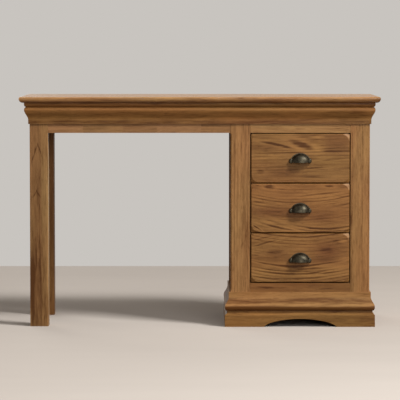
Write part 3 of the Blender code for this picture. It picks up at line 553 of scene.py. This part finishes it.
def dress_rails():
    breaks = (-0.19, -0.055, 0.06, 0.21)
    return {
        "kneehole_front_rail": wood(
            "kneehole_front_rail", "xzy", APRON_TONE, second_tone=APRON_DARK_TONE, breaks=breaks,
            heart=(0.05, 0.05), contrast=0.20, seed=11.0,
        ),
        "kneehole_back_rail": wood("kneehole_back_rail", "xzy", APRON_TONE, seed=12.0),
        "left_side_rail": wood("left_side_rail", "yzx", APRON_TONE, seed=13.0),
        "front_fixing_batten": wood("front_fixing_batten", "xzy", HIDDEN_TONE, seed=14.0),
        "back_fixing_batten": wood("back_fixing_batten", "xzy", HIDDEN_TONE, seed=15.0),
    }


def dress_pedestal():
    straight = {"heart": (0.20, 0.08), "taper": 0.004, "wobble": 0.010, "contrast": 0.50}
    panels = {"seams": (-0.07, 0.05), "wobble": 0.02, "contrast": 0.6}
    left_streaks = (
        ((0.0, 0.014), (0.9, 0.020), 0.0, 0.0, 0.22),
        ((0.0, 0.032), (0.9, 0.007), 0.0, 0.0, 0.55),
    )
    right_streaks = (
        ((0.0, -0.028), (0.9, 0.008), 0.0, 0.0, 0.30),
        ((0.0, 0.0075), (0.9, 0.004), 0.0, 0.0, 0.30),
    )
    foot_streaks = (
        ((-0.112, 0.017), (0.045, 0.0060), -0.05, 0.0, 0.60),
        ((0.087, 0.009), (0.038, 0.0050), 0.05, 0.0, 0.60),
    )
    return {
        "pedestal_left_stile": wood(
            "pedestal_left_stile", "zxy", STILE_TONE, streaks=left_streaks, seed=17.0, **straight
        ),
        "pedestal_right_stile": wood(
            "pedestal_right_stile", "zxy", RIGHT_STILE_TONE, streaks=right_streaks, seed=18.0,
            **straight,
        ),
        "pedestal_top_rail": wood(
            "pedestal_top_rail", "xzy", STILE_TONE, heart=(0.08, 0.05), contrast=0.15, seed=19.0
        ),
        "pedestal_bottom_rail": wood(
            "pedestal_bottom_rail", "xzy", RAIL_TONE, streaks=foot_streaks, contrast=0.30, seed=20.0
        ),
        "pedestal_left_side": wood(
            "pedestal_left_side", "zyx", HIDDEN_TONE, gloss=0.0, seed=21.0, **panels
        ),
        "pedestal_right_side": wood("pedestal_right_side", "zyx", STILE_TONE, seed=22.0, **panels),
        "pedestal_back_top_rail": wood("pedestal_back_top_rail", "xzy", HIDDEN_TONE, seed=23.0),
        "pedestal_back_foot_rail": wood("pedestal_back_foot_rail", "xzy", HIDDEN_TONE, seed=24.0),
        "pedestal_base_board": wood("pedestal_base_board", "xyz", PANEL_TONE, contrast=0.5, seed=25.0),
        "pedestal_back_panel": wood("pedestal_back_panel", "zxy", PANEL_TONE, contrast=0.6, seed=26.0),
    }


def dress_plinth():
    """The moulding is darker on its ogee, and painted shadow darkens it under its nose."""
    # The first streak is darker on the ogee, the second is painted shadow under the nose
    nose = (((0.0, 0.002), (2.0, 0.013), 0.0, 0.0, 0.75), ((0.0, -0.024), (2.0, 0.012), 0.0, 0.0, 1.40))
    upper_edge = (((0.0, 0.024), (2.0, 0.009), 0.0, 0.0, 0.35), ((0.26, 0.0), (0.28, 0.06), 0.0, 0.0, 0.30))
    looks = {}
    for number, side in enumerate(("front", "left", "right")):
        grain = "xzy" if side == "front" else "yzx"
        look = {"heart": (0.04, 0.06), "contrast": 0.20, "seed": 28.0 + number}
        moulding, plinth = (f"base_moulding_{side}", f"plinth_{side}")
        looks[moulding] = wood(moulding, grain, MOULDING_TONE, streaks=nose, **look)
        looks[plinth] = wood(plinth, grain, PLINTH_TONE, streaks=upper_edge, **look)
    return looks


def dress_drawer_fronts():
    """Each front has its own bold figure, and a painted highlight on the slopes of its eased upper corners.
    """
    top_streaks = (
        ((-0.079, 0.045), (0.075, 0.0072), -0.21, 0.0, 1.22),
        ((0.002, 0.047), (0.056, 0.0160), -0.34, 0.0, 1.20),
        ((-0.135, -0.046), (0.020, 0.0092), 0.0, 0.0, 0.61),
        ((0.053, -0.031), (0.060, 0.0048), 0.03, 0.0, 0.68),
        ((0.110, -0.004), (0.050, 0.0048), 0.06, 0.0, 0.54),
        ((0.104, 0.025), (0.050, 0.0064), -0.10, 0.0, 0.54),
        ((0.060, -0.062), (0.080, 0.0080), 0.0, 0.0, 0.47),
        ((0.059, 0.072), (0.040, 0.0064), 0.0, 0.0, -0.54),
    )
    middle_streaks = (
        ((-0.104, 0.073), (0.026, 0.0090), -0.08, 0.0, 1.35),
        ((0.097, 0.075), (0.022, 0.0056), 0.0, 0.0, 1.01),
        ((0.067, 0.048), (0.100, 0.0048), 0.12, 0.0, 0.54),
        ((-0.123, 0.019), (0.060, 0.0064), -0.12, 0.0, 0.54),
        ((0.114, 0.024), (0.060, 0.0048), 0.16, 0.0, 0.47),
        ((-0.079, -0.064), (0.078, 0.0054), -0.22, 0.60, 1.28),
        ((0.084, -0.068), (0.150, 0.0058), 0.0, 1.05, 1.28),
        ((0.084, -0.078), (0.130, 0.0048), 0.0, 0.90, 0.94),
        ((-0.146, -0.066), (0.022, 0.0048), -0.70, 0.0, 1.08),
        ((-0.109, -0.047), (0.040, 0.0064), -0.20, 0.0, -0.61),
    )
    bottom_streaks = (
        ((-0.116, 0.051), (0.055, 0.0048), 0.28, 0.0, 0.68),
        ((-0.129, 0.068), (0.040, 0.0048), 0.20, 0.0, 0.61),
        ((-0.085, 0.020), (0.036, 0.0110), 0.0, 0.0, 0.60),
        ((0.088, 0.025), (0.034, 0.0126), 0.0, 0.0, 0.50),
        ((-0.011, -0.028), (0.200, 0.0058), 0.0, 0.85, 1.28),
        ((-0.024, -0.054), (0.200, 0.0054), 0.0, 0.72, 1.22),
        ((-0.031, -0.071), (0.180, 0.0048), 0.0, 0.50, 0.94),
        ((0.034, -0.037), (0.100, 0.0045), 0.0, 0.70, 0.74),
        ((0.101, -0.051), (0.060, 0.0042), 0.09, 0.0, 0.61),
        ((0.145, 0.056), (0.022, 0.0092), 0.0, 0.0, -0.68),
    )
    top_patches = (
        ((-0.110, 0.038), (0.065, 0.012), 0.30),
        ((0.064, 0.045), (0.026, 0.030), -0.55),
        ((0.122, 0.048), (0.055, 0.036), 0.42),
        ((0.095, -0.010), (0.065, 0.020), -0.40),
        ((-0.120, 0.004), (0.055, 0.018), -0.35),
        ((-0.040, -0.047), (0.045, 0.018), 0.45),
        ((-0.100, -0.050), (0.070, 0.030), 0.22),
    )
    middle_patches = (
        ((0.085, 0.038), (0.080, 0.030), -0.55),
        ((-0.100, -0.012), (0.080, 0.018), 0.60),
        ((0.060, -0.032), (0.055, 0.018), 0.35),
        ((-0.140, 0.036), (0.045, 0.030), -0.25),
    )
    bottom_patches = (
        ((0.092, 0.020), (0.050, 0.034), 0.70),
        ((-0.084, 0.012), (0.045, 0.024), 0.40),
        ((0.070, -0.010), (0.060, 0.012), 0.40),
        ((-0.050, 0.060), (0.100, 0.022), -0.35),
        ((0.080, -0.052), (0.080, 0.024), -0.35),
        ((-0.130, -0.040), (0.040, 0.030), -0.25),
    )
    # The last share paints a highlight on the upper corners of each front
    bold = {"halo": 0.40, "broken": 2.2, "corner_highlight": 0.9}
    sagging = {"taper": 0.0, "sag": (0.0, 0.7)}
    top, middle, bottom = ("top_drawer_front", "middle_drawer_front", "bottom_drawer_front")
    return {
        top: wood(
            top, "xzy", DRAWER_TONE, heart=(0.25, 0.05), wobble=0.030, seed=31.0, contrast=0.75,
            streaks=top_streaks, patches=top_patches, **bold,
        ),
        middle: wood(
            middle, "xzy", DRAWER_TONE, heart=(0.25, 0.05), wobble=0.022, seed=33.0, contrast=0.70,
            streaks=middle_streaks, patches=middle_patches, **bold, **sagging,
        ),
        bottom: wood(
            bottom, "xzy", DRAWER_TONE, heart=(0.30, 0.05), wobble=0.014, seed=36.0, contrast=0.95,
            streaks=bottom_streaks, patches=bottom_patches, **bold, **sagging,
        ),
    }


def dress_drawer_boxes():
    looks = {}
    for number, drawer in enumerate(("top", "middle", "bottom")):
        for part, grain in (("left_side", "yzx"), ("right_side", "yzx"), ("back", "xzy"), ("bottom", "xyz")):
            name = f"{drawer}_drawer_{part}"
            looks[name] = wood(name, grain, BOX_TONE, seed=40.0 + number)
        for side in ("left", "right"):
            name = f"{drawer}_{side}_runner"
            looks[name] = wood(name, "yzx", HIDDEN_TONE, seed=50.0 + number)
    for side in ("left", "right"):
        name = f"{side}_kicker"
        looks[name] = wood(name, "yzx", HIDDEN_TONE, seed=55.0)
    return looks


def dress_metalwork():
    handle = metal("aged_handle_metal", HANDLE_TONE, HANDLE_BRIGHT_TONE, HANDLE_ROUGHNESS)
    screw = metal("screw_steel", SCREW_TONE, SCREW_BRIGHT_TONE, SCREW_ROUGHNESS)
    looks = {}
    for drawer in ("top", "middle", "bottom"):
        looks[f"{drawer}_drawer_cup_handle"] = handle
        for side in ("left", "right"):
            looks[f"{drawer}_drawer_{side}_handle_screw"] = screw
    return looks


def area_light(name, place, target, size, power):
    """A square lamp at a place, turned to a target."""
    lamp = bpy.data.lights.new(name, "AREA")
    lamp.size = size
    lamp.energy = power
    holder = bpy.data.objects.new(name, lamp)
    holder.location = place
    holder.rotation_euler = (Vector(target) - Vector(place)).to_track_quat("-Z", "Y").to_euler()
    bpy.context.scene.collection.objects.link(holder)


def light_world():
    """An even studio light. What the camera, a gloss or a glass sees of it is the pale wall."""
    world = bpy.data.worlds.new("studio")
    bpy.context.scene.world = world
    world.use_nodes = True
    tree = world.node_tree
    tree.nodes.clear()
    path = tree.nodes.new("ShaderNodeLightPath")
    seen = Number(tree, path.outputs["Is Camera Ray"]) + Number(tree, path.outputs["Is Glossy Ray"])
    seen = (seen + Number(tree, path.outputs["Is Transmission Ray"])).clamped()
    light = tree.nodes.new("ShaderNodeBackground")
    light.inputs["Color"].default_value = STUDIO_COLOUR
    light.inputs["Strength"].default_value = STUDIO_LEVEL
    wall = tree.nodes.new("ShaderNodeBackground")
    wall.inputs["Color"].default_value = linear(WALL_COLOUR)
    both = tree.nodes.new("ShaderNodeMixShader")
    feed(tree, seen, both.inputs[0])
    tree.links.new(light.outputs[0], both.inputs[1])
    tree.links.new(wall.outputs[0], both.inputs[2])
    output = tree.nodes.new("ShaderNodeOutputWorld")
    tree.links.new(both.outputs[0], output.inputs["Surface"])


def make_floor():
    """A plain pale floor, which ends where the wall begins."""
    mesh = bpy.data.meshes.new("floor")
    corners = [
        (-FLOOR_REACH, -FLOOR_REACH, 0.0),
        (FLOOR_REACH, -FLOOR_REACH, 0.0),
        (FLOOR_REACH, FLOOR_BACK, 0.0),
        (-FLOOR_REACH, FLOOR_BACK, 0.0),
    ]
    mesh.from_pydata(corners, [], [(0, 1, 2, 3)])
    floor = bpy.data.objects.new("floor", mesh)
    bpy.context.scene.collection.objects.link(floor)
    material = new_material("pale_floor")
    tree = material.node_tree
    place = tree.nodes.new("ShaderNodeTexCoord").outputs["Object"]
    cloud = noise(tree, place, (1.2, 4.0, 1.0), 3.0)
    path = tree.nodes.new("ShaderNodeLightPath")
    seen = Number(tree, path.outputs["Is Camera Ray"]) + Number(tree, path.outputs["Is Glossy Ray"])
    colour = mix(tree, seen.clamped(), linear(FLOOR_BOUNCE), linear(FLOOR_COLOUR))
    colour = stain(tree, colour, cloud, FLOOR_CLOUD)
    surface(tree, colour, cloud * 0.1 + FLOOR_ROUGHNESS, cloud, FLOOR_DEPTH, gloss=0.0)
    mesh.materials.append(material)


def make_camera():
    data = bpy.data.cameras.new("camera")
    data.lens = CAMERA_LENS
    data.sensor_width = CAMERA_SENSOR
    data.clip_end = CAMERA_FAR
    camera = bpy.data.objects.new("camera", data)
    camera.location = CAMERA_PLACE
    camera.rotation_euler = (math.radians(90 - CAMERA_PITCH), 0, 0)
    bpy.context.scene.collection.objects.link(camera)
    bpy.context.scene.camera = camera


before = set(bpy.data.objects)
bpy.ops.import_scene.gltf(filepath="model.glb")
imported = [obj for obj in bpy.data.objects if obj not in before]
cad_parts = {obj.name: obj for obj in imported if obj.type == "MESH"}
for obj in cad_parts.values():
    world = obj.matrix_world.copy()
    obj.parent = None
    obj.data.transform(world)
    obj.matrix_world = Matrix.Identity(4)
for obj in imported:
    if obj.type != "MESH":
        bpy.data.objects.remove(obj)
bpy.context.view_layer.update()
bpy.context.scene.view_settings.view_transform = "Standard"
make_camera()
light_world()
area_light("key_light", KEY_PLACE, KEY_TARGET, KEY_SIZE, KEY_POWER)
area_light("overhead_light", OVERHEAD_PLACE, OVERHEAD_TARGET, OVERHEAD_SIZE, OVERHEAD_POWER)
area_light("front_light", FRONT_PLACE, FRONT_TARGET, FRONT_SIZE, FRONT_POWER)
area_light("back_light", BACK_PLACE, BACK_TARGET, BACK_SIZE, BACK_POWER)
make_floor()

looks = {}
for dress in (
    dress_top,
    dress_cornice,
    dress_legs,
    dress_rails,
    dress_pedestal,
    dress_plinth,
    dress_drawer_fronts,
    dress_drawer_boxes,
    dress_metalwork,
):
    looks.update(dress())
rounded = smooth_group(EDGE_ANGLE)
faceted = smooth_group(FACET_ANGLE)
for node, look in looks.items():
    wooden = look.name.endswith("_wood")
    smoothing = faceted if node.endswith("_drawer_front") else rounded
    ease_edges(paint(node, look), EDGE_WIDTH if wooden else 0.0, smoothing)
